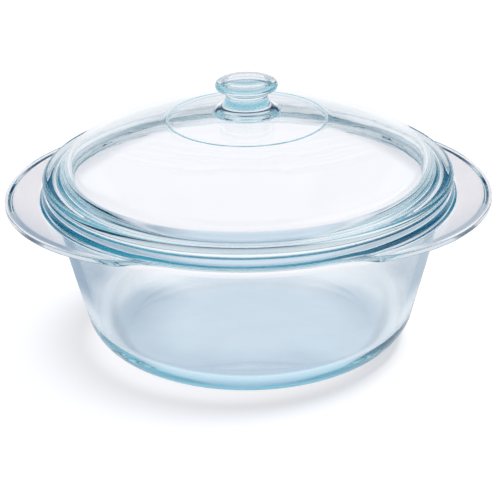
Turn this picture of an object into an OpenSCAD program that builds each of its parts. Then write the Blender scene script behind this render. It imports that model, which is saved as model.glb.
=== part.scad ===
// Covered casserole dish: a round pressed-glass dish with two wing handles, and a domed
// glass lid with a moulded knob that lifts off. Millimetres, +Z up. The origin is the
// centre of the dish's base, on the table, and the handles point along X.

/* [Dish] */
// Diameter over the lip round the mouth
rim_d = 245.8; // [225:0.1:265]
// Height of the flat seat, on which the lid rests
rim_h = 99.8; // [80:0.1:120]
// Diameter of the flat part of the base
base_d = 146; // [130:1:160]
// Outside radius between the base and the wall
corner_r = 25; // [15:0.5:32]
// Inside radius between the floor and the wall
inner_corner_r = 20; // [10:0.5:26]
// Thickness of the wall
wall_t = 5; // [4:0.1:6]
// Thickness of the floor
base_t = 7; // [5:0.1:9]
// Radius that eases the mouth's inner edge
mouth_edge_r = 1.5; // [0.5:0.1:2]

/* [Collar] */
// Diameter of the collar that carries the seat, above the lip
collar_d = 238.6; // [234:0.1:242]
// Height of the collar above the lip
collar_h = 4.9; // [3.5:0.1:7]
// Radius on the collar's upper edge
collar_top_edge_r = 0.8; // [0.3:0.1:1]
// Radius between the collar and the lip's top
collar_fillet = 3.8; // [1:0.1:4]
// How far the lip stands out from the wall below it
lip_w = 6.5; // [5:0.1:9]
// Thickness of the lip, which has a fully round edge
lip_t = 1.7; // [1.5:0.1:4]
// Radius under the lip, where it meets the wall
lip_fillet = 3; // [1:0.1:4]

/* [Handles] */
// How far each handle's tip stands out from the lip
handle_reach = 19.8; // [14:0.1:30]
// Angle from the handle's middle to where its outline leaves the lip
handle_half_angle = 65; // [50:1:70]
// Thickness of the handle
handle_t = 4; // [3.6:0.1:5]
// Radius on the handle's upper edge
handle_top_edge_r = 1.2; // [0.5:0.1:1.4]
// Radius on the handle's lower edge
handle_low_edge_r = 2; // [1:0.1:2.1]
// Step down from the lip's top to the handle's top, where the handle starts
handle_step = 0.6; // [0.3:0.1:0.8]
// How far the handle's tip lies below its start
handle_drop = 2.5; // [1:0.1:5]

/* [Lid] */
// How far the lid's edge lies inside the lip's edge
lid_inset = 2.9; // [1:0.1:5]
// Thickness of the lid's flange, which has a fully round edge
flange_t = 6; // [4:0.1:8]
// Width of the flange outside the foot of the dome
flange_w = 12.5; // [11:0.1:15]
// Height of the dome's crown above the seat
dome_h = 41.6; // [34:0.1:52]
// Height above the seat at which the crown meets the dome's side, before rounding
shoulder_h = 13.6; // [11:0.1:17]
// Radius of the dome's outer shoulder
shoulder_r = 9.5; // [6:0.1:12]
// Radius of the dome's inner shoulder
inner_shoulder_r = 4.8; // [2:0.1:6]
// Thickness of the dome
dome_t = 4.5; // [4:0.1:6]
// Radius between the dome's shoulder and the flange
foot_fillet = 7.5; // [4:0.1:9]
// Depth of the locating ring that hangs inside the mouth
spigot_h = 4; // [3:0.1:8]
// Radius on the locating ring's lower edges
spigot_edge_r = 1.8; // [0.5:0.1:1.9]
// Gap between the locating ring and the dish's wall
lid_clearance = 2.5; // [0.5:0.1:3.5]
// Diameter of the mould line on the dome
mould_ring_d = 92.4; // [70:0.1:120]
// Height of the mould line above the dome
mould_ring_bead = 0.4; // [0.2:0.05:0.6]

/* [Knob] */
// Diameter of the knob's disc
knob_d = 36.4; // [32:0.1:44]
// Thickness of the disc, which has a fully round edge
knob_t = 4.6; // [4:0.1:6]
// Height of the disc's top above the dome's crown
knob_h = 17.6; // [16:0.1:24]
// Diameter of the knob's neck
neck_d = 24.4; // [20:0.1:26]
// Radius of the hollow flare from the neck out to the knob's foot
neck_flare_r = 8.8; // [7.5:0.1:11]
// Diameter of the knob's foot
knob_foot_d = 38.6; // [36:0.1:42]
// Height of the foot's edge above the dome
knob_foot_h = 1.6; // [0.8:0.1:2.5]
// Diameter of the dished hollow in the disc's top
well_d = 24.4; // [16:0.1:28]
// Depth of that hollow
well_depth = 1.5; // [0.5:0.1:2.5]

/* [Hidden] */
$fn = 180;
glass_tint = [0.74, 0.85, 0.89, 0.5];
// Overlap that lets joined shapes run into each other, and cuts run past a face
lap = 1;
// How far inside the lip's edge each handle's outline starts
handle_sink = 1;
// Width of the ledge at the knob's foot
knob_foot_ledge = 0.3;
// How far a blend's circle reaches past the lines that it would only touch
graze = 0.002;

rim_r = rim_d / 2;
base_r = base_d / 2;
collar_r = collar_d / 2;
lip_top = rim_h - collar_h;
lip_z = lip_top - lip_t;

// The wall runs from the lip's root to a tangent on the corner's circle
wall_top_r = rim_r - lip_w;
corner_to_rim = [wall_top_r - base_r, lip_z - corner_r];
wall_lean = acos(corner_r / norm(corner_to_rim)) - atan2(corner_to_rim[1], corner_to_rim[0]);
// A wall line holds the points where r * cos(wall_lean) - z * sin(wall_lean) equals its offset
outer_offset = base_r * cos(wall_lean) - corner_r * sin(wall_lean) + corner_r;
inner_offset = outer_offset - wall_t;
function wall_r(offset, z) = (offset + z * sin(wall_lean)) / cos(wall_lean);

// Each handle's outline is one arc, through its tip and two places just inside the lip's edge
tip_r = rim_r + handle_reach;
root_r = rim_r - handle_sink;
handle_root_x = root_r * cos(handle_half_angle);
handle_centre_x = (tip_r ^ 2 - root_r ^ 2) / (2 * (tip_r - handle_root_x));
handle_arc_r = tip_r - handle_centre_x;
handle_tilt = atan(handle_drop / (tip_r - handle_root_x));
handle_top = lip_top - handle_step;

lid_r = rim_r - lid_inset;
flange_z = rim_h + flange_t;
foot_r = lid_r - flange_w;
spigot_z = rim_h - spigot_h;
spigot_r = wall_r(inner_offset, spigot_z) - lid_clearance;
crown_z = rim_h + dome_h;
// The crown is part of a ball that passes through the shoulder's corner
crown_rise = dome_h - shoulder_h;
crown_r = (foot_r ^ 2 + crown_rise ^ 2) / (2 * crown_rise);
ball_z = crown_z - crown_r;
function dome_z(r) = ball_z + sqrt(crown_r ^ 2 - r ^ 2);

knob_r = knob_d / 2;
neck_r = neck_d / 2;
knob_top = crown_z + knob_h;
disc_z = knob_top - knob_t;
knob_foot_r = knob_foot_d / 2;
knob_foot_z = dome_z(knob_foot_r) + knob_foot_h;
well_r = ((well_d / 2) ^ 2 + well_depth ^ 2) / (2 * well_depth);

// A box from low to high, in the half-plane that is turned about Z
module panel(low, high) {
    translate(low) square(high - low);
}

// A round spot at a point of the half-plane, which crosses the lines that it blends into
module spot(at, r) {
    translate(at) circle(r + graze);
}

// What is taken off a square outer corner to round it, below (-1) or above (1) the bar
module corner_easing(at, r, up) {
    difference() {
        panel([at[0] - r, min(at[1] - up * r, at[1] + up * lap)],
              [at[0] + lap, max(at[1] - up * r, at[1] + up * lap)]);
        spot([at[0] - r, at[1] - up * r], r);
    }
}

// A bar whose outer corners, the lower and the upper one, have the given radii
module eased_bar(low, high, low_r, top_r) {
    difference() {
        panel(low, high);
        corner_easing([high[0], low[1]], low_r, -1);
        corner_easing(high, top_r, 1);
    }
}

// A bar with a fully round outer end
module round_ended_bar(low, high) {
    end_r = (high[1] - low[1]) / 2;
    panel(low, [high[0] - end_r, high[1]]);
    spot([high[0] - end_r, low[1] + end_r], end_r);
}

// The filling of a square inside corner, which opens outwards and up or down
module corner_filling(at, r, up) {
    difference() {
        panel([at[0] - lap, min(at[1] - up * lap, at[1] + up * r)],
              [at[0] + r, max(at[1] - up * lap, at[1] + up * r)]);
        spot([at[0] + r, at[1] + up * r], r);
    }
}

// Bowl shape with a rounded corner: from the floor out to a wall line, and up to the top
module bowl_section(offset, floor_z, round_r, top_z) {
    centre_z = floor_z + round_r;
    centre = [(offset - round_r + centre_z * sin(wall_lean)) / cos(wall_lean), centre_z];
    corner = [wall_r(offset, floor_z), floor_z];
    outwards = [cos(wall_lean), -sin(wall_lean)];
    difference() {
        polygon([[0, floor_z], corner, [wall_r(offset, top_z), top_z], [0, top_z]]);
        difference() {
            polygon([
                centre,
                [centre[0], floor_z - lap],
                [corner[0] + lap, floor_z - lap],
                centre + (round_r + lap) * outwards,
            ]);
            spot(centre, round_r);
        }
    }
}

// What is taken off the mouth's inner edge to ease it
module mouth_easing() {
    centre = [wall_r(inner_offset + mouth_edge_r, rim_h - mouth_edge_r), rim_h - mouth_edge_r];
    on_wall = centre + mouth_edge_r * [-cos(wall_lean), sin(wall_lean)];
    difference() {
        polygon([
            on_wall - [lap, 0],
            on_wall,
            centre,
            [centre[0], rim_h + lap],
            [on_wall[0] - lap, rim_h + lap],
        ]);
        spot(centre, mouth_edge_r);
    }
}

// The filling under the lip, round to both the lip and the leaning wall
module lip_filling() {
    centre = [wall_r(outer_offset + lip_fillet, lip_z - lip_fillet), lip_z - lip_fillet];
    on_wall = centre + lip_fillet * [-cos(wall_lean), sin(wall_lean)];
    difference() {
        polygon([
            on_wall - [lap, 0],
            on_wall,
            centre,
            [centre[0], lip_z + lap],
            [on_wall[0] - lap, lip_z + lap],
        ]);
        spot(centre, lip_fillet);
    }
}

module dish_section() {
    wall_in = wall_r(inner_offset, lip_z) + lap;
    difference() {
        union() {
            bowl_section(outer_offset, 0, corner_r, rim_h);
            eased_bar([wall_in, lip_z + lip_t / 4], [collar_r, rim_h], lip_t / 4, collar_top_edge_r);
            round_ended_bar([wall_in, lip_z], [rim_r, lip_top]);
            corner_filling([collar_r, lip_top], collar_fillet, 1);
            lip_filling();
        }
        bowl_section(inner_offset, base_t, inner_corner_r, rim_h + lap);
        mouth_easing();
    }
}

// A round plate with eased edges, tipped down towards the handle's tip and kept outside the wall
module handle() {
    difference() {
        translate([handle_root_x, 0, handle_top])
            rotate([0, handle_tilt, 0])
            translate([handle_centre_x - handle_root_x, 0, 0])
            rotate_extrude()
            eased_bar([0, -handle_t], [handle_arc_r, 0], handle_low_edge_r, handle_top_edge_r);
        cylinder(h = rim_h + lap, r = wall_top_r - wall_t / 2);
    }
}

module dish() {
    color(glass_tint) {
        rotate_extrude() dish_section();
        handle();
        mirror([1, 0, 0]) handle();
    }
}

// Centre of the shoulder that rounds a ball's cap into an upright side
function shoulder_at(ball_r, side_r, round_r) =
    [side_r - round_r, ball_z + sqrt((ball_r - round_r) ^ 2 - (side_r - round_r) ^ 2)];

// Dome shape: a ball's cap on an upright side, with a rounded shoulder, down to low_z
module dome_section(ball_r, side_r, round_r, low_z) {
    round_at = shoulder_at(ball_r, side_r, round_r);
    cap_edge = [0, ball_z] + (round_at - [0, ball_z]) * ball_r / (ball_r - round_r);
    polygon([[0, low_z], [side_r, low_z], [side_r, round_at[1]], cap_edge, [0, cap_edge[1]]]);
    spot(round_at, round_r);
    intersection() {
        spot([0, ball_z], ball_r);
        panel([0, cap_edge[1] - lap], [cap_edge[0], crown_z + lap]);
    }
}

// The filling between the dome's shoulder and the flange, round to both
module foot_filling() {
    round_at = shoulder_at(crown_r, foot_r, shoulder_r);
    reach = shoulder_r + foot_fillet;
    rise = flange_z + foot_fillet - round_at[1];
    centre = round_at + [sqrt(reach ^ 2 - rise ^ 2), rise];
    inside = round_at + (centre - round_at) * (shoulder_r - dome_t / 2) / reach;
    difference() {
        polygon([[inside[0], flange_z - lap], [centre[0], flange_z - lap], centre, inside]);
        spot(centre, foot_fillet);
    }
}

// The hollow flare from the neck to the knob's foot, which ends in a narrow ledge
module neck_filling() {
    ledge_r = knob_foot_r - knob_foot_ledge;
    centre_r = neck_r + neck_flare_r;
    centre = [centre_r, knob_foot_z + sqrt(neck_flare_r ^ 2 - (centre_r - ledge_r) ^ 2)];
    difference() {
        panel([neck_r - lap, knob_foot_z - knob_foot_h / 2], [ledge_r, centre[1]]);
        spot(centre, neck_flare_r);
    }
}

module knob_section() {
    difference() {
        union() {
            panel([0, crown_z - dome_t / 2], [neck_r, disc_z + lap]);
            panel([0, crown_z - dome_t / 2 - knob_foot_h], [knob_foot_r, knob_foot_z]);
            neck_filling();
            corner_filling([neck_r, disc_z], knob_r - knob_t / 2 - neck_r, -1);
            round_ended_bar([0, disc_z], [knob_r, knob_top]);
        }
        intersection() {
            spot([0, knob_top - well_depth + well_r], well_r);
            panel([0, disc_z], [knob_r, knob_top + lap]);
        }
    }
}

module lid_section() {
    side_r = foot_r - dome_t;
    difference() {
        union() {
            dome_section(crown_r, foot_r, shoulder_r, rim_h);
            round_ended_bar([side_r, rim_h], [lid_r, flange_z]);
            foot_filling();
            eased_bar([side_r, spigot_z], [spigot_r, rim_h + flange_t / 2], spigot_edge_r, spigot_edge_r);
            spot([mould_ring_d / 2, dome_z(mould_ring_d / 2)], mould_ring_bead);
        }
        dome_section(crown_r - dome_t, side_r, inner_shoulder_r, spigot_z - lap);
    }
    knob_section();
}

module lid() {
    color(glass_tint) rotate_extrude() lid_section();
}

dish();
lid();
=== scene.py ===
import math

import bpy
import numpy as np
from mathutils import Matrix


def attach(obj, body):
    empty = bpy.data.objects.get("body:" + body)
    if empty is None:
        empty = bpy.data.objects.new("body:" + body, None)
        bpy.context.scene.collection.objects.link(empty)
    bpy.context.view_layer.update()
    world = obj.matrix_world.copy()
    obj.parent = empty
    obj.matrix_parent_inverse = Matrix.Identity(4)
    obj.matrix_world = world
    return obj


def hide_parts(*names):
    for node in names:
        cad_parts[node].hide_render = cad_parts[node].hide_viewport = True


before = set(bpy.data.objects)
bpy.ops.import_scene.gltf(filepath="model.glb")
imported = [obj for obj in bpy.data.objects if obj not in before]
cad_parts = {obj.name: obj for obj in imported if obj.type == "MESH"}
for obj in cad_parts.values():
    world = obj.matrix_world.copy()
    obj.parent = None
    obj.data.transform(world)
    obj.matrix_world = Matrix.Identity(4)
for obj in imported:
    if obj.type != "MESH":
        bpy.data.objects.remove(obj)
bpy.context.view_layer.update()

# Sizes in millimetres, as in the part's source
MM = 0.001
RIM_R = 122.9
RIM_H = 99.8
BASE_R = 73.0
CORNER_R = 25.0
INNER_CORNER_R = 20.0
WALL_T = 5.0
BASE_T = 7.0
MOUTH_EDGE_R = 1.5
COLLAR_R = 119.3
COLLAR_H = 4.9
COLLAR_TOP_EDGE_R = 0.8
COLLAR_FILLET = 3.8
LIP_W = 6.5
LIP_T = 1.7
LIP_FILLET = 3.0
HANDLE_REACH = 19.8
HANDLE_HALF_ANGLE = math.radians(65)
HANDLE_T = 4.0
HANDLE_STEP = 0.6
HANDLE_DROP = 2.5
HANDLE_SINK = 1.0
LID_R = 120.0
FLANGE_T = 6.0
FLANGE_W = 12.5
DOME_H = 41.6
SHOULDER_H = 13.6
SHOULDER_R = 9.5
INNER_SHOULDER_R = 4.8
DOME_T = 4.5
FOOT_FILLET = 7.5
SPIGOT_H = 4.0
SPIGOT_EDGE_R = 1.8
LID_CLEARANCE = 2.5
MOULD_RING_R = 46.2
MOULD_RING_BEAD = 0.4
KNOB_R = 18.2
KNOB_T = 4.6
KNOB_H = 17.6
NECK_R = 12.2
NECK_FLARE_R = 8.8
KNOB_FOOT_R = 19.3
KNOB_FOOT_LEDGE = 0.3
KNOB_FOOT_H = 1.6
WELL_R = 12.2
WELL_DEPTH = 1.5
# Air between the lid's flange and its seat, as two pressed faces leave
SEAT_AIR = 0.1


def between(a, b, share):
    return a + (b - a) * share


def ease(x):
    x = min(max(x, 0.0), 1.0)
    return x * x * (3 - 2 * x)


def full_turn(steps):
    return np.linspace(0, 2 * math.pi, steps, endpoint=False)


def add_object(name, data):
    made = bpy.data.objects.new(name, data)
    bpy.context.scene.collection.objects.link(made)
    return made


def axes(x, y, z):
    """The turn that takes X, Y and Z to these three directions."""
    return Matrix(np.column_stack([x, y, z]).tolist()).to_4x4()


# Dish: one section for each angle about Z
DISH_TURN_STEPS = 384
LIP_TOP = RIM_H - COLLAR_H
LIP_Z = LIP_TOP - LIP_T
WALL_TOP_R = RIM_R - LIP_W
# The wall's outside touches the base's round and meets the lip's underside at WALL_TOP_R
WALL_OUT, WALL_UP = WALL_TOP_R - BASE_R, LIP_Z - CORNER_R
WALL_LEAN = math.acos(CORNER_R / math.hypot(WALL_OUT, WALL_UP)) - math.atan2(WALL_UP, WALL_OUT)
LEAN_COS, LEAN_SIN = math.cos(WALL_LEAN), math.sin(WALL_LEAN)
# Distance of the wall's two faces from a line through the origin that leans as they do
OUTER_OFFSET = BASE_R * LEAN_COS - CORNER_R * LEAN_SIN + CORNER_R
INNER_OFFSET = OUTER_OFFSET - WALL_T
# The handle's outline in plan is an arc through its tip and its two roots
TIP_R = RIM_R + HANDLE_REACH
ROOT_R = RIM_R - HANDLE_SINK
HANDLE_ROOT_X = ROOT_R * math.cos(HANDLE_HALF_ANGLE)
HANDLE_CENTRE_X = (TIP_R**2 - ROOT_R**2) / (2 * (TIP_R - HANDLE_ROOT_X))
HANDLE_ARC_R = TIP_R - HANDLE_CENTRE_X
HANDLE_SLOPE = HANDLE_DROP / (TIP_R - HANDLE_ROOT_X)
# How wide that outline blends into the lip's
HANDLE_BLEND = 4.0
# Reach past the lip at which a section has the handle's full form, and its edge the full rounding
HANDLE_FULL = 4.5
HANDLE_EDGE_FULL = 8.0
# Rounding of the lip's and the handle's edge, below and above
LIP_EDGE = (0.85, 0.75)
HANDLE_EDGE = (0.9, 1.0)
HANDLE_FILLET = 5.0
# Bead under the edge: how far in its flank begins and ends, and how far the plate lies above it
LIP_BEAD = (2.0, 1.0, 0.0)
HANDLE_BEAD = (5.0, 2.0, 1.4)
BEAD_ROUND = 1.5
# Share of an edge that a corner's rounding takes at least, and that two of them take at most
SHORTEST_SHARE = 0.08
LONGEST_SHARE = 0.96
# Mesh steps along the section, in the round of each corner and on each run between two corners
DISH_ROUND_STEPS = (24, 8, 6, 6, 8, 8, 14, 6, 8, 24)
DISH_RUN_STEPS = (8, 8, 4, 3, 2, 2, 4, 2, 3, 10, 8)


def wall_r(offset, z):
    return (offset + z * LEAN_SIN) / LEAN_COS


def rounded_path(corners, round_steps, run_steps):
    """Points and directions along a path of (r, z, radius) corners, rounded by conic arcs."""
    at = np.array([(r, z) for r, z, _ in corners], float)
    edges = np.diff(at, axis=0)
    lengths = np.linalg.norm(edges, axis=1)
    ways = edges / lengths[:, None]
    turns = np.arccos(np.clip(np.sum(ways[:-1] * ways[1:], axis=1), -1, 1))
    before, after = np.zeros(len(at)), np.zeros(len(at))
    for i, turn in enumerate(turns, 1):
        wanted = corners[i][2] * math.tan(turn / 2)
        before[i] = max(wanted, SHORTEST_SHARE * lengths[i - 1])
        after[i] = max(wanted, SHORTEST_SHARE * lengths[i])
    for e, length in enumerate(lengths):
        shrink = min(1.0, LONGEST_SHARE * length / (after[e] + before[e + 1]))
        after[e] *= shrink
        before[e + 1] *= shrink
    points, directions = [at[0]], [ways[0]]

    def run_towards(end, way, steps):
        """The points of a straight run after its first and before its end."""
        begin = points[-1]
        for k in range(1, steps):
            points.append(between(begin, end, ease(k / steps)))
            directions.append(way)

    for i, turn in enumerate(turns, 1):
        start, end = at[i] - ways[i - 1] * before[i], at[i] + ways[i] * after[i]
        run_towards(start, ways[i - 1], run_steps[i - 1])
        weight = math.cos(turn / 2)
        for t in np.linspace(0, 1, round_steps[i - 1] + 1):
            low, middle, high = (1 - t) ** 2, 2 * t * (1 - t) * weight, t**2
            points.append((low * start + middle * at[i] + high * end) / (low + middle + high))
            way = (weight * low * (at[i] - start) + t * (1 - t) * (end - start)
                   + weight * high * (end - at[i]))
            directions.append(way / np.linalg.norm(way))
    run_towards(at[-1], ways[-1], run_steps[-1])
    return np.array(points + [at[-1]]), np.array(directions + [ways[-1]])


def dish_section(angle):
    """From the underside's middle up, over the lip or handle, and down inside to the floor's middle."""
    side = abs(math.cos(angle))
    wing = HANDLE_CENTRE_X * side + math.sqrt(HANDLE_ARC_R**2 - HANDLE_CENTRE_X**2 * (1 - side**2))
    near = max(HANDLE_BLEND - abs(wing - RIM_R), 0.0) / HANDLE_BLEND
    outer_r = max(wing, RIM_R) + HANDLE_BLEND * near**2 / 4
    reach = outer_r - RIM_R
    formed, edged = ease(reach / HANDLE_FULL), ease(reach / HANDLE_EDGE_FULL)
    low_edge, top_edge = [between(*pair, edged) for pair in zip(LIP_EDGE, HANDLE_EDGE)]
    bead_start, bead_end, bead_rise = [between(*pair, edged) for pair in zip(LIP_BEAD, HANDLE_BEAD)]
    bead_start_r, bead_end_r = outer_r - bead_start, outer_r - bead_end

    def top_z(r):
        past_root = max(r * side, HANDLE_ROOT_X) - HANDLE_ROOT_X
        return LIP_TOP - (HANDLE_STEP + past_root * HANDLE_SLOPE) * formed

    def under_z(r):
        return top_z(r) - between(LIP_T, HANDLE_T, formed)

    root_z = under_z(WALL_TOP_R) + bead_rise
    corners = [
        (0, 0, 0),
        (wall_r(OUTER_OFFSET, 0), 0, CORNER_R),
        (wall_r(OUTER_OFFSET, root_z), root_z, LIP_FILLET),
        (bead_start_r, under_z(bead_start_r) + bead_rise, BEAD_ROUND),
        (bead_end_r, under_z(bead_end_r), BEAD_ROUND),
        (outer_r, under_z(outer_r), low_edge),
        (outer_r, top_z(outer_r), top_edge),
        (COLLAR_R, top_z(COLLAR_R), between(COLLAR_FILLET, HANDLE_FILLET, formed)),
        (COLLAR_R, RIM_H, COLLAR_TOP_EDGE_R),
        (wall_r(INNER_OFFSET, RIM_H), RIM_H, MOUTH_EDGE_R),
        (wall_r(INNER_OFFSET, BASE_T), BASE_T, INNER_CORNER_R),
        (0, BASE_T, 0),
    ]
    return rounded_path(corners, DISH_ROUND_STEPS, DISH_RUN_STEPS)


# Lid: one section, turned about Z
LID_TURN_STEPS = 288
CROWN_Z = RIM_H + DOME_H
FOOT_R = LID_R - FLANGE_W
CROWN_R = (FOOT_R**2 + (DOME_H - SHOULDER_H) ** 2) / (2 * (DOME_H - SHOULDER_H))
BALL_Z = CROWN_Z - CROWN_R
FLANGE_Z = RIM_H + FLANGE_T
SEAT_Z = RIM_H + SEAT_AIR
# Where the mould line's bead leaves the dome, as an angle round the bead in radians
BEAD_SINK = 0.2
# Points of the section before it is softened
ARC_POINTS = 90
BEAD_POINTS = 20
KNOB_TO_BEAD_POINTS = 60
BEAD_TO_SHOULDER_POINTS = 120
INNER_DOME_POINTS = 160
# Softness of the small edges, and how many times as far the softening reaches to each side
LID_EDGE_SOFT = 0.3
SOFT_REACH = 4
# Step between points while they are softened, and the largest turn and step of those kept
FINE_STEP = 0.05
MAX_TURN = math.radians(5)
MAX_STEP = 5.0
# Points closer together than this are one point
SAME_POINT = 1e-6


def dome_z(r, ball_r=CROWN_R):
    return BALL_Z + math.sqrt(ball_r**2 - r**2)


def dome_run(start_r, end_r, points, ball_r=CROWN_R):
    return [(r, dome_z(r, ball_r)) for r in np.linspace(start_r, end_r, points)]


def arc(centre, radius, start, end):
    angles = np.radians(np.linspace(start, end, ARC_POINTS))
    return [(centre[0] + radius * math.cos(a), centre[1] + radius * math.sin(a)) for a in angles]


def shoulder(ball_r, side_r, round_r):
    """Of the round between ball and upright side: centre, angle where the ball ends, and radius there."""
    centre = (side_r - round_r, BALL_Z + math.sqrt((ball_r - round_r) ** 2 - (side_r - round_r) ** 2))
    lean = math.degrees(math.atan2(centre[1] - BALL_Z, centre[0]))
    return centre, lean, centre[0] + round_r * math.cos(math.radians(lean))


def knob_path():
    """From the well's middle over the disc and down the neck to the edge of the knob's foot."""
    top_z = CROWN_Z + KNOB_H
    well_ball = (WELL_R**2 + WELL_DEPTH**2) / (2 * WELL_DEPTH)
    well_turn = math.degrees(math.asin(WELL_R / well_ball))
    edge_r = KNOB_T / 2
    disc_r = KNOB_R - edge_r
    under_r = disc_r - NECK_R
    foot_z = dome_z(KNOB_FOOT_R) + KNOB_FOOT_H
    flare = math.acos(1 - (KNOB_FOOT_R - KNOB_FOOT_LEDGE - NECK_R) / NECK_FLARE_R)
    flare_centre = (NECK_R + NECK_FLARE_R, foot_z + NECK_FLARE_R * math.sin(flare))
    path = arc((0, top_z - WELL_DEPTH + well_ball), well_ball, -90, well_turn - 90)
    path += arc((disc_r, top_z - edge_r), edge_r, 90, -90)
    path += arc((disc_r, top_z - KNOB_T - under_r), under_r, 90, 180)
    path += arc(flare_centre, NECK_FLARE_R, 180, 180 + math.degrees(flare))
    return path + [(KNOB_FOOT_R, foot_z)]


def outer_path():
    """From the knob's foot over the mould line, the dome and its shoulder to the flange's edge."""
    bead_z = dome_z(MOULD_RING_R)
    centre, lean, shoulder_r = shoulder(CROWN_R, FOOT_R, SHOULDER_R)
    fillet_z = FLANGE_Z + FOOT_FILLET
    rise = math.asin(max(fillet_z - centre[1], 0) / (SHOULDER_R + FOOT_FILLET))
    fillet_r = centre[0] + (SHOULDER_R + FOOT_FILLET) * math.cos(rise)
    nose_r = (FLANGE_Z - SEAT_Z) / 2
    path = dome_run(KNOB_FOOT_R, MOULD_RING_R - MOULD_RING_BEAD, KNOB_TO_BEAD_POINTS)
    path += [(MOULD_RING_R - MOULD_RING_BEAD * math.cos(a), bead_z + MOULD_RING_BEAD * math.sin(a))
             for a in np.linspace(BEAD_SINK, math.pi - BEAD_SINK, BEAD_POINTS)]
    path += dome_run(MOULD_RING_R + MOULD_RING_BEAD, shoulder_r, BEAD_TO_SHOULDER_POINTS)
    path += arc(centre, SHOULDER_R, lean, math.degrees(rise))
    path += arc((fillet_r, fillet_z), FOOT_FILLET, 180 + math.degrees(rise), 270)
    return path + arc((LID_R - nose_r, SEAT_Z + nose_r), nose_r, 90, -90)


def under_path():
    """From the flange's seat round the locating ring and up under the dome to its middle."""
    spigot_z = RIM_H - SPIGOT_H
    spigot_r = wall_r(INNER_OFFSET, spigot_z) - LID_CLEARANCE
    inner_r = FOOT_R - DOME_T
    ball_r = CROWN_R - DOME_T
    edge_z = spigot_z + SPIGOT_EDGE_R
    centre, lean, shoulder_r = shoulder(ball_r, inner_r, INNER_SHOULDER_R)
    path = [(spigot_r, SEAT_Z)]
    path += arc((spigot_r - SPIGOT_EDGE_R, edge_z), SPIGOT_EDGE_R, 0, -90)
    path += arc((inner_r + SPIGOT_EDGE_R, edge_z), SPIGOT_EDGE_R, -90, -180)
    path += arc(centre, INNER_SHOULDER_R, 0, lean)
    return path + dome_run(shoulder_r, 0, INNER_DOME_POINTS, ball_r)


def read_at(picks, places, pairs):
    """Both columns of pairs, interpolated at picks."""
    return np.stack([np.interp(picks, places, pairs[:, k]) for k in (0, 1)], axis=1)


def lid_section():
    """The lid's section, its small edges softened, with points close together where it curves."""
    path = np.array(knob_path() + outer_path() + under_path())
    way = np.concatenate([[0], np.cumsum(np.linalg.norm(np.diff(path, axis=0), axis=1))])
    keep = np.concatenate([[True], np.diff(way) > SAME_POINT])
    path, way = path[keep], way[keep]
    dense = read_at(np.arange(0, way[-1], FINE_STEP), way, path)
    reach = int(SOFT_REACH * LID_EDGE_SOFT / FINE_STEP)
    weights = np.exp(-0.5 * (np.arange(-reach, reach + 1) * FINE_STEP / LID_EDGE_SOFT) ** 2)
    weights /= weights.sum()
    mirrored = np.concatenate([dense[reach:0:-1] * (-1, 1), dense, dense[-2:-reach - 2:-1] * (-1, 1)])
    soft = np.stack([np.convolve(mirrored[:, k], weights, "valid") for k in (0, 1)], axis=1)
    slope = np.gradient(soft, axis=0)
    slope /= np.linalg.norm(slope, axis=1)[:, None]
    turned = np.abs(np.diff(np.unwrap(np.arctan2(slope[:, 1], slope[:, 0]))))
    effort = np.concatenate([[0], np.cumsum(turned / MAX_TURN + FINE_STEP / MAX_STEP)])
    count = int(math.ceil(effort[-1]))
    places = np.arange(len(soft))
    picks = np.interp(np.linspace(0, effort[-1], count + 1), effort, places)
    points, slopes = read_at(picks, places, soft), read_at(picks, places, slope)
    points[0, 0] = points[-1, 0] = 0
    slopes /= np.linalg.norm(slopes, axis=1)[:, None]
    return points[::-1], -slopes[::-1]


# Meshes
# Length under which a normal counts as none
NO_LENGTH = 1e-12


def stood_up(path, angle):
    """A path of (r, z) in the upright plane at an angle about Z."""
    return np.stack([path[:, 0] * math.cos(angle), path[:, 0] * math.sin(angle), path[:, 1]], axis=1)


def turned_mesh(name, sections, angles):
    """A closed mesh from one section per angle, each a path from the axis back to the axis."""
    place = np.array([stood_up(points, angle) for (points, _), angle in zip(sections, angles)])
    along = np.array([stood_up(ways, angle) for (_, ways), angle in zip(sections, angles)])
    around = np.roll(place, -1, axis=0) - np.roll(place, 1, axis=0)
    normal = np.cross(along, around)
    length = np.linalg.norm(normal, axis=2, keepdims=True)
    normal = normal / np.where(length > NO_LENGTH, length, 1)
    turns, inner = len(angles), place.shape[1] - 2
    vertices = np.concatenate([place[:, 1:-1].reshape(-1, 3), [place[0, 0], place[0, -1]]]) * MM
    start, end = turns * inner, turns * inner + 1
    faces = []
    for j in range(turns):
        here, there = j * inner, (j + 1) % turns * inner
        faces.append((start, there, here))
        for k in range(inner - 1):
            faces.append((here + k, there + k, there + k + 1, here + k + 1))
        faces.append((end, here + inner - 1, there + inner - 1))
    mesh = bpy.data.meshes.new(name)
    mesh.from_pydata(vertices.tolist(), [], faces)
    mesh.validate()
    mesh.polygons.foreach_set("use_smooth", [True] * len(mesh.polygons))
    poles = [(0, 0, np.sign(normal[0, k, 2])) for k in (1, -2)]
    normals = np.concatenate([normal[:, 1:-1].reshape(-1, 3), poles])
    face = mesh.polygons[1]
    if np.array(face.normal) @ normals[face.vertices[0]] < 0:
        normals = -normals
    mesh.normals_split_custom_set_from_vertices(normals.tolist())
    mesh.update()
    return add_object(name, mesh)


# Shader nodes
# Sockets of a Mix node that mixes colours
MIX_FIRST, MIX_SECOND, MIX_RESULT = 6, 7, 2
WHITE = (1, 1, 1, 1)
BLACK = (0, 0, 0, 1)


def cleared_tree(owner):
    owner.use_nodes = True
    owner.node_tree.nodes.clear()
    return owner.node_tree


def node(tree, kind, **inputs):
    made = tree.nodes.new(kind)
    for name, value in inputs.items():
        made.inputs[name.replace("_", " ")].default_value = value
    return made


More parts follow.
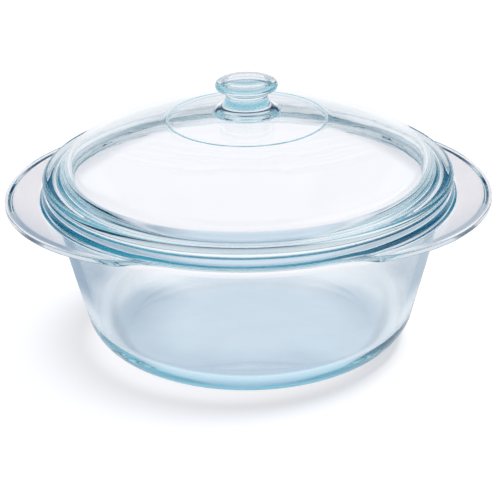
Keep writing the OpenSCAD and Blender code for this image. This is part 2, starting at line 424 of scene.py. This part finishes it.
def maths(tree, operation, first, second):
    made = node(tree, "ShaderNodeMath")
    made.operation = operation
    tree.links.new(first, made.inputs[0])
    tree.links.new(second, made.inputs[1])
    return made.outputs[0]


def ranged(tree, value, low, high, to_low=0.0, to_high=1.0, smooth=False):
    """A value between low and high as one between to_low and to_high, held there beyond them."""
    made = node(tree, "ShaderNodeMapRange", From_Min=low, From_Max=high, To_Min=to_low, To_Max=to_high)
    made.interpolation_type = "SMOOTHSTEP" if smooth else "LINEAR"
    tree.links.new(value, made.inputs["Value"])
    return made.outputs["Result"]


def mixed(tree, share, first, second):
    """Two colours mixed, each a socket or a plain tuple."""
    made = node(tree, "ShaderNodeMix")
    made.data_type = "RGBA"
    tree.links.new(share, made.inputs["Factor"])
    for k, colour in ((MIX_FIRST, first), (MIX_SECOND, second)):
        if isinstance(colour, tuple):
            made.inputs[k].default_value = (*colour, 1)
        else:
            tree.links.new(colour, made.inputs[k])
    return made.outputs[MIX_RESULT]


def mixed_shader(tree, share, first, second):
    made = node(tree, "ShaderNodeMixShader")
    tree.links.new(share, made.inputs["Fac"])
    tree.links.new(first.outputs[0], made.inputs[1])
    tree.links.new(second.outputs[0], made.inputs[2])
    return made


def x_y_z(tree, place):
    parts = node(tree, "ShaderNodeSeparateXYZ")
    tree.links.new(place, parts.inputs[0])
    return parts.outputs


# Glass: clear and pressed, with a blue-green tint that deepens with the way through it
GLASS_IOR = 1.48
# Light taken in per metre, in red, green and blue, and the density as a multiple of the strongest
GLASS_ABSORB = (6.2, 1.9, 1.1)
DENSITY_FACTOR = 1.05
# Waves of the pressed faces, in metres
WAVE_SIZE = 0.022
WAVE_DEPTH = 0.00006
WAVE_DETAIL = 2.0
WAVE_ROUGHNESS = 0.4
# Lamp light that a face of the glass lets through, struck square on and along it
LAMP_SQUARE = (0.98, 0.97, 0.98)
LAMP_ALONG = (0.22, 0.2, 0.22)
# Share of that darkening at the foot and, falling evenly, from a height in metres upwards
LAMP_FOOT_SHARE = 1.0
LAMP_TOP_SHARE = 0.05
LAMP_TOP_Z = 0.075
# Blend of Layer Weight at which Facing follows the plain cosine
PLAIN_COSINE = 0.5


def pressed_glass(name):
    material = bpy.data.materials.new(name)
    tree = cleared_tree(material)
    link = tree.links.new
    place = node(tree, "ShaderNodeTexCoord").outputs["Object"]
    waves = node(tree, "ShaderNodeTexNoise", Scale=1 / WAVE_SIZE, Detail=WAVE_DETAIL,
                 Roughness=WAVE_ROUGHNESS)
    link(place, waves.inputs["Vector"])
    bump = node(tree, "ShaderNodeBump", Strength=1.0, Distance=WAVE_DEPTH)
    link(waves.outputs["Fac"], bump.inputs["Height"])
    body = node(tree, "ShaderNodeBsdfPrincipled", Base_Color=WHITE, Roughness=0.0, IOR=GLASS_IOR,
                Transmission_Weight=1.0)
    link(bump.outputs["Normal"], body.inputs["Normal"])
    facing = node(tree, "ShaderNodeLayerWeight", Blend=PLAIN_COSINE).outputs["Facing"]
    share = ranged(tree, x_y_z(tree, place)["Z"], 0.0, LAMP_TOP_Z, LAMP_FOOT_SHARE, LAMP_TOP_SHARE)
    let_through = mixed(tree, maths(tree, "MULTIPLY", facing, share), LAMP_SQUARE, LAMP_ALONG)
    clear = node(tree, "ShaderNodeBsdfTransparent")
    link(let_through, clear.inputs["Color"])
    path = node(tree, "ShaderNodeLightPath")
    surface = mixed_shader(tree, path.outputs["Is Shadow Ray"], body, clear)
    density = max(GLASS_ABSORB) * DENSITY_FACTOR
    tint = [1 - a / density for a in GLASS_ABSORB]
    inside = node(tree, "ShaderNodeVolumeAbsorption", Color=(*tint, 1), Density=density)
    out = node(tree, "ShaderNodeOutputMaterial")
    link(surface.outputs[0], out.inputs["Surface"])
    link(inside.outputs["Volume"], out.inputs["Volume"])
    return material


dish_angles = full_turn(DISH_TURN_STEPS)
dish = turned_mesh("dish_glass_body", [dish_section(a) for a in dish_angles], dish_angles)
lid = turned_mesh("lid_glass_body", [lid_section()] * LID_TURN_STEPS, full_turn(LID_TURN_STEPS))
for piece, body in ((dish, "dish"), (lid, "lid")):
    piece.data.materials.append(pressed_glass(body + "_pressed_glass"))
    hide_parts(body)
    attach(piece, body)

# Surround: what glass shows of it comes from one ramp for each side of the room
# Where a side changes to its neighbour, as y's share of the squared distance, and how softly
DIAGONAL = 0.5
SIDE_BLEND = 0.2


def ramp_of(tree, place, stops):
    ramp = node(tree, "ShaderNodeValToRGB")
    tree.links.new(place, ramp.inputs["Fac"])
    for k, (position, light) in enumerate(stops):
        stop = ramp.color_ramp.elements[k] if k < 2 else ramp.color_ramp.elements.new(1.0)
        stop.position = position
        stop.color = (*light, 1)
    return ramp.outputs["Color"]


def four_sides(tree, ramps, x, y, blend):
    """The ramps of the four sides, mixed by the direction (x, y) from the middle."""
    along, across = maths(tree, "MULTIPLY", y, y), maths(tree, "MULTIPLY", x, x)
    lengthwise = maths(tree, "DIVIDE", along, maths(tree, "ADD", along, across))
    share = ranged(tree, lengthwise, DIAGONAL - SIDE_BLEND, DIAGONAL + SIDE_BLEND, smooth=True)
    ends = mixed(tree, ranged(tree, y, -blend, blend, smooth=True), ramps["front"], ramps["back"])
    sides = mixed(tree, ranged(tree, x, -blend, blend, smooth=True), ramps["left"], ramps["right"])
    return mixed(tree, share, sides, ends)


def glass_rays(tree):
    path = node(tree, "ShaderNodeLightPath")
    return path, maths(tree, "MAXIMUM", path.outputs["Is Glossy Ray"], path.outputs["Is Transmission Ray"])


# Floor: white, with the object's shadow cast by the lamp where the camera sees it, and painted shade where
# glass shows it
FLOOR_R = 4.0
FLOOR_CORNERS = 96
# How far it lies below the base, so that the two faces stay apart
FLOOR_GAP = 0.0002
FLOOR_COLOUR = (0.8, 0.8, 0.8)
# Its own light for the camera alone, on top of what lamp and fill give
FLOOR_GLOW = 0.45
# How softly a side changes to the one across the middle, in metres
FLOOR_MIDDLE_BLEND = 0.03
# Painted shadow and shade that glass shows on the floor in place of the lamp's shadow, darkest under and
# beside the dish: by distance from the middle in metres, on each side
FLOOR_PAINTED_SHADE_R = 2.0
FLOOR_PAINTED_SHADE_STRENGTH = 1.08
# Painted shadow under the dish, as glass shows the floor there
UNDER_DISH_PAINTED_SHADOW = (0.66, 0.74, 0.84)
FLOOR_PAINTED_SHADE = {
    "back": (
        (0.05, UNDER_DISH_PAINTED_SHADOW), (0.105, (0.9, 0.88, 0.92)), (0.175, (1.0, 0.96, 0.99)),
        (0.85, (1.0, 0.96, 0.99)), (2.0, (0.94, 0.93, 0.96)),
    ),
    "front": (
        (0.03, UNDER_DISH_PAINTED_SHADOW), (0.065, (0.48, 0.56, 0.67)), (0.078, (0.42, 0.56, 0.7)),
        (0.088, (0.58, 0.76, 0.88)), (0.095, (0.82, 0.89, 0.94)), (0.107, (0.82, 0.89, 0.94)),
        (0.117, (0.22, 0.36, 0.48)), (0.135, (0.5, 0.57, 0.66)), (0.175, (0.97, 0.97, 1.0)),
        (0.36, (0.86, 0.88, 0.92)), (0.85, (0.75, 0.78, 0.82)), (2.0, (0.65, 0.7, 0.75)),
    ),
    "left": (
        (0.045, UNDER_DISH_PAINTED_SHADOW), (0.082, (0.4, 0.48, 0.58)), (0.096, (0.74, 0.77, 0.83)),
        (0.116, (0.74, 0.77, 0.83)), (0.135, (0.34, 0.42, 0.52)), (0.2, (0.36, 0.44, 0.54)),
        (0.36, (0.64, 0.69, 0.76)), (0.85, (0.74, 0.78, 0.83)), (2.0, (0.78, 0.82, 0.87)),
    ),
    "right": (
        (0.055, UNDER_DISH_PAINTED_SHADOW), (0.08, (0.56, 0.63, 0.72)), (0.094, (0.8, 0.83, 0.88)),
        (0.114, (0.8, 0.83, 0.88)), (0.135, (0.46, 0.52, 0.6)), (0.2, (0.5, 0.56, 0.63)),
        (0.36, (0.62, 0.67, 0.74)), (0.85, (0.74, 0.78, 0.83)), (2.0, (0.78, 0.82, 0.87)),
    ),
}


def floor_material():
    material = bpy.data.materials.new("floor_white")
    tree = cleared_tree(material)
    link = tree.links.new
    place = node(tree, "ShaderNodeTexCoord").outputs["Object"]
    far = node(tree, "ShaderNodeVectorMath")
    far.operation = "LENGTH"
    link(place, far.inputs[0])
    share = ranged(tree, far.outputs["Value"], 0.0, FLOOR_PAINTED_SHADE_R)
    ramps = {side: ramp_of(tree, share, [(r / FLOOR_PAINTED_SHADE_R, light) for r, light in stops])
             for side, stops in FLOOR_PAINTED_SHADE.items()}
    # Painted shadow and shade of the floor, as emission that only glass rays see
    seen = node(tree, "ShaderNodeEmission", Strength=FLOOR_PAINTED_SHADE_STRENGTH)
    parts = x_y_z(tree, place)
    link(four_sides(tree, ramps, parts["X"], parts["Y"], FLOOR_MIDDLE_BLEND), seen.inputs["Color"])
    path, glass_ray = glass_rays(tree)
    glow = node(tree, "ShaderNodeEmission", Color=WHITE, Strength=FLOOR_GLOW)
    dark = node(tree, "ShaderNodeEmission", Color=BLACK, Strength=0.0)
    matt = node(tree, "ShaderNodeBsdfDiffuse", Color=(*FLOOR_COLOUR, 1))
    lit = node(tree, "ShaderNodeAddShader")
    link(matt.outputs[0], lit.inputs[0])
    link(mixed_shader(tree, path.outputs["Is Camera Ray"], dark, glow).outputs[0], lit.inputs[1])
    out = node(tree, "ShaderNodeOutputMaterial")
    link(mixed_shader(tree, glass_ray, lit, seen).outputs[0], out.inputs["Surface"])
    return material


floor_mesh = bpy.data.meshes.new("floor")
edge = [(FLOOR_R * math.cos(a), FLOOR_R * math.sin(a), -FLOOR_GAP) for a in full_turn(FLOOR_CORNERS)]
floor_mesh.from_pydata(edge, [], [tuple(range(FLOOR_CORNERS))])
floor_mesh.materials.append(floor_material())
floor = add_object("floor", floor_mesh)

# Light: one broad soft lamp from high up, a little to the right and the back, and an even fill
LAMP_STRENGTH = 2.3
LAMP_SOFT = math.radians(18)
LAMP_FROM = (0.34, 0.14, 1.0)
FILL = 0.25
FILL_COLOUR = (0.93, 0.94, 1.08)
# How softly a side changes to the one across, in x or y of a direction
STUDIO_MIDDLE_BLEND = 0.25
# Light that glass shows from the room: by elevation in degrees, on each side
DIM = (0.0, 0.05, 0.1)
OVERHEAD = (0.2, 0.26, 0.34)
STUDIO = {
    "back": (
        (0, (0.92, 0.92, 0.94)), (8, (0.8, 0.8, 0.84)), (12, (0.6, 0.62, 0.68)), (16, DIM),
        (21, (0.04, 0.08, 0.14)), (24, (0.2, 0.23, 0.32)), (27, (0.8, 0.82, 0.86)),
        (40, (0.75, 0.77, 0.82)), (55, (0.6, 0.63, 0.7)), (70, OVERHEAD),
    ),
    "front": (
        (0, (0.9, 0.9, 0.9)), (8, (0.95, 0.95, 0.95)), (14, (0.5, 0.53, 0.57)), (20, DIM),
        (60, DIM), (75, OVERHEAD),
    ),
    "left": (
        (0, (0.5, 0.53, 0.57)), (6, (0.3, 0.35, 0.4)), (10, DIM), (44, DIM),
        (60, (0.6, 0.63, 0.68)), (75, OVERHEAD),
    ),
    "right": (
        (0, (0.6, 0.62, 0.66)), (8, (0.6, 0.62, 0.66)), (12, DIM), (18, DIM),
        (28, (1.0, 1.0, 1.0)), (60, (1.0, 1.0, 1.0)), (75, OVERHEAD),
    ),
}

lamp_data = bpy.data.lights.new("key_lamp", "SUN")
lamp_data.energy = LAMP_STRENGTH
lamp_data.angle = LAMP_SOFT
lamp = add_object("key_lamp", lamp_data)
way = np.array(LAMP_FROM) / np.linalg.norm(LAMP_FROM)
side = np.cross((0, 0, 1), way)
side /= np.linalg.norm(side)
lamp.matrix_world = axes(side, np.cross(way, side), way)
lamp.visible_glossy = False
lamp.visible_transmission = False


def height_share(elevation):
    """Height of a direction on the round of the room, from 0 straight down to 1 straight up."""
    return (1 + math.sin(math.radians(elevation))) / 2


def studio_world():
    world = bpy.data.worlds.new("studio")
    tree = cleared_tree(world)
    link = tree.links.new
    parts = x_y_z(tree, node(tree, "ShaderNodeTexCoord").outputs["Generated"])
    height = ranged(tree, parts["Z"], -1.0, 1.0)
    ramps = {side: ramp_of(tree, height, [(height_share(up), light) for up, light in stops])
             for side, stops in STUDIO.items()}
    white = node(tree, "ShaderNodeBackground", Color=WHITE, Strength=1.0)
    seen = node(tree, "ShaderNodeBackground", Strength=1.0)
    link(four_sides(tree, ramps, parts["X"], parts["Y"], STUDIO_MIDDLE_BLEND), seen.inputs["Color"])
    fill = node(tree, "ShaderNodeBackground", Color=(*FILL_COLOUR, 1), Strength=FILL)
    path, glass_ray = glass_rays(tree)
    shown = mixed_shader(tree, glass_ray, fill, seen)
    out = node(tree, "ShaderNodeOutputWorld")
    link(mixed_shader(tree, path.outputs["Is Camera Ray"], shown, white).outputs[0], out.inputs["Surface"])
    return world


scene = bpy.context.scene
scene.world = studio_world()

# Camera: the photograph's own angle, with distances in millimetres and the clip range in metres
CAMERA_FAR = 1300.0
CAMERA_DOWN = math.radians(23.84)
CAMERA_ROLL = math.radians(0.966)
CAMERA_LENS = 157.44
CAMERA_SENSOR = 36.0
CAMERA_CLIP = (0.01, 50.0)
LOOK_AT = (0.45, 0.0, 52.66)

camera_data = bpy.data.cameras.new("camera")
camera_data.sensor_width = CAMERA_SENSOR
camera_data.lens = CAMERA_LENS
camera_data.clip_start, camera_data.clip_end = CAMERA_CLIP
camera = add_object("camera", camera_data)
back = np.array([0, -math.cos(CAMERA_DOWN), math.sin(CAMERA_DOWN)])
up = np.array([0, math.sin(CAMERA_DOWN), math.cos(CAMERA_DOWN)])
right = np.array([1.0, 0, 0])
c, s = math.cos(CAMERA_ROLL), math.sin(CAMERA_ROLL)
matrix = axes(c * right - s * up, s * right + c * up, back)
matrix.translation = ((np.array(LOOK_AT) + CAMERA_FAR * back) * MM).tolist()
camera.matrix_world = matrix
bpy.context.scene.camera = camera

# Glass stands behind glass many times over, so rays bounce more often than usual
GLASS_BOUNCES = 160
scene.view_settings.view_transform = "Standard"
scene.cycles.max_bounces = GLASS_BOUNCES
scene.cycles.transmission_bounces = GLASS_BOUNCES
scene.cycles.glossy_bounces = GLASS_BOUNCES
scene.cycles.transparent_max_bounces = GLASS_BOUNCES
scene.cycles.caustics_reflective = False
scene.cycles.caustics_refractive = False

bpy.context.view_layer.update()
